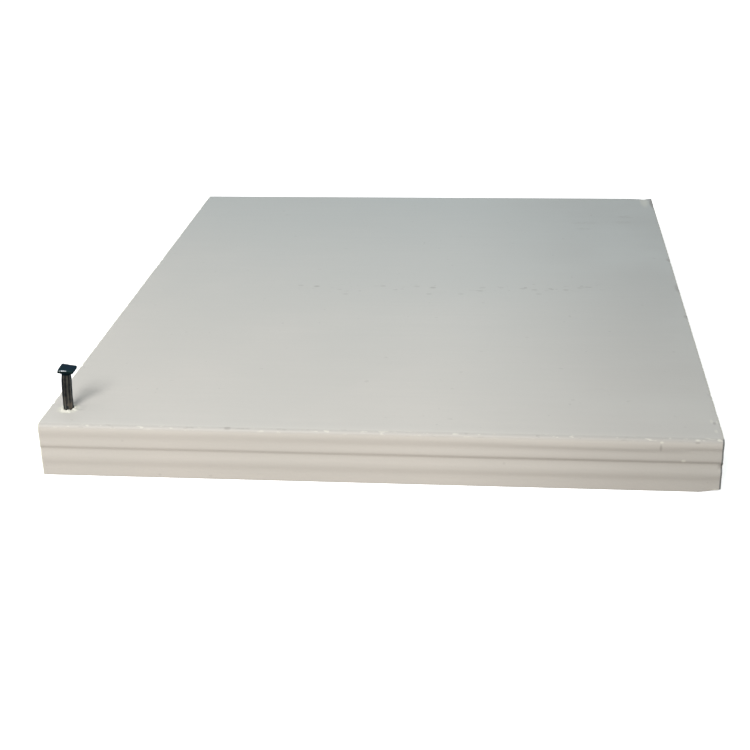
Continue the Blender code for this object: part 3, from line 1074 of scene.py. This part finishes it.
class FORMWORK_OT_stage(bpy.types.Operator):
    """Add the white floor, the soft lights and the camera"""

    bl_idname = "formwork.stage"
    bl_label = "Stage"

    def execute(self, context):
        looks = context.scene.formwork_stage
        self.floor(looks)
        self.world(looks)
        self.lights(looks)
        self.camera(looks)
        return {"FINISHED"}

    def floor(self, looks):
        """A wide white floor that shows shadows, and is white to the camera where it has none."""
        corners = FLOOR_REACH * np.array([(-1, -1, 0), (1, -1, 0), (1, 1, 0), (-1, 1, 0)])
        floor = added("floor", new_mesh("floor", corners, [(0, 1, 2, 3)]))
        paint = Finish("white_floor", 0.9, specular=0.0)
        seen = paint.add("LightPath", output="Is Camera Ray")
        paint.surface({"Base Color": paint.mix(seen, looks.bounce, np.full(3, looks.floor)),
                       "Emission Color": WHITE, "Emission Strength": seen * FLOOR_GLOW})
        floor.data.materials.append(paint.material)

    def world(self, looks):
        """Pale light from all round, seen as plain white by the camera and in reflections."""
        world = bpy.data.worlds.new("studio")
        bpy.context.scene.world = world
        nodes = Nodes(world)
        seen, mirrored = (nodes.add("LightPath", output=name)
                          for name in ("Is Camera Ray", "Is Glossy Ray"))
        plain = seen | mirrored
        strength = nodes.add("MapRange", {"Value": plain, "To Min": looks.ambient, "To Max": 1.0})
        nodes.feed(nodes.tree.nodes["Background"], {
            "Color": nodes.mix(plain, looks.ambient_tint, WHITE), "Strength": strength})

    def lights(self, looks):
        """A soft key light at the front left, and a broad one over the left end."""
        level = math.cos(looks.key_height)
        toward = Vector((level * math.cos(looks.key_turn), level * math.sin(looks.key_turn),
                         math.sin(looks.key_height)))
        nail = Vector((NAIL_LOW + NAIL_HIGH) / 2)
        place = nail + toward * looks.key_reach
        self.lamp("key", looks.key, looks.key_tint, looks.key_size, place, nail)
        self.lamp("fill", looks.fill, looks.key_tint, looks.fill_size, Vector(FILL_PLACE), Vector())

    def lamp(self, name, power, tint, size, place, aim):
        """A square area light at a place, aimed at a point."""
        data = bpy.data.lights.new(name, "AREA")
        data.shape = "SQUARE"
        data.size = size
        data.energy = power
        data.color = tint
        lamp = added(name, data)
        lamp.location = place
        lamp.rotation_euler = (place - aim).to_track_quat("Z", "Y").to_euler()

    def camera(self, looks):
        """The camera, at the photograph's place and angle."""
        data = bpy.data.cameras.new("camera")
        data.lens = looks.focal_pixels / PHOTO_PIXELS * data.sensor_width
        data.clip_start = 0.01
        camera = added("camera", data)
        turn = (Matrix.Rotation(-looks.yaw, 4, "Z")
                @ Matrix.Rotation(math.pi / 2 - looks.pitch, 4, "X")
                @ Matrix.Rotation(looks.roll, 4, "Z"))
        camera.matrix_world = Matrix.Translation(CAMERA_PLACE) @ turn
        bpy.context.scene.camera = camera


class FORMWORK_PT_sidebar(bpy.types.Panel):
    """Lists the steps and their settings"""

    bl_idname = "FORMWORK_PT_sidebar"
    bl_label = "Formwork panel"
    bl_space_type = "VIEW_3D"
    bl_region_type = "UI"
    bl_category = "Formwork"

    def draw(self, context):
        for step, looks in SETTINGS.items():
            box = self.layout.box()
            box.operator("formwork." + step)
            for name in looks.__annotations__:
                box.prop(getattr(context.scene, "formwork_" + step), name)


SETTINGS = {"panel": PanelLooks, "nail": NailLooks, "stage": StageLooks}
CLASSES = (*SETTINGS.values(), FORMWORK_OT_panel, FORMWORK_OT_nail, FORMWORK_OT_stage,
           FORMWORK_PT_sidebar)


def register():
    """Register the classes, and hang the settings on the scene."""
    for item in CLASSES:
        bpy.utils.register_class(item)
    for step, looks in SETTINGS.items():
        setattr(bpy.types.Scene, "formwork_" + step, PointerProperty(type=looks))


def unregister():
    """Undo what register did."""
    for step in SETTINGS:
        delattr(bpy.types.Scene, "formwork_" + step)
    for item in reversed(CLASSES):
        bpy.utils.unregister_class(item)


def main():
    """Build every piece and the stage."""
    register()
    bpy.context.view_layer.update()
    bpy.context.scene.view_settings.view_transform = "Standard"
    bpy.ops.formwork.stage()
    bpy.ops.formwork.panel()
    bpy.ops.formwork.nail()


if __name__ == "__main__":
    main()
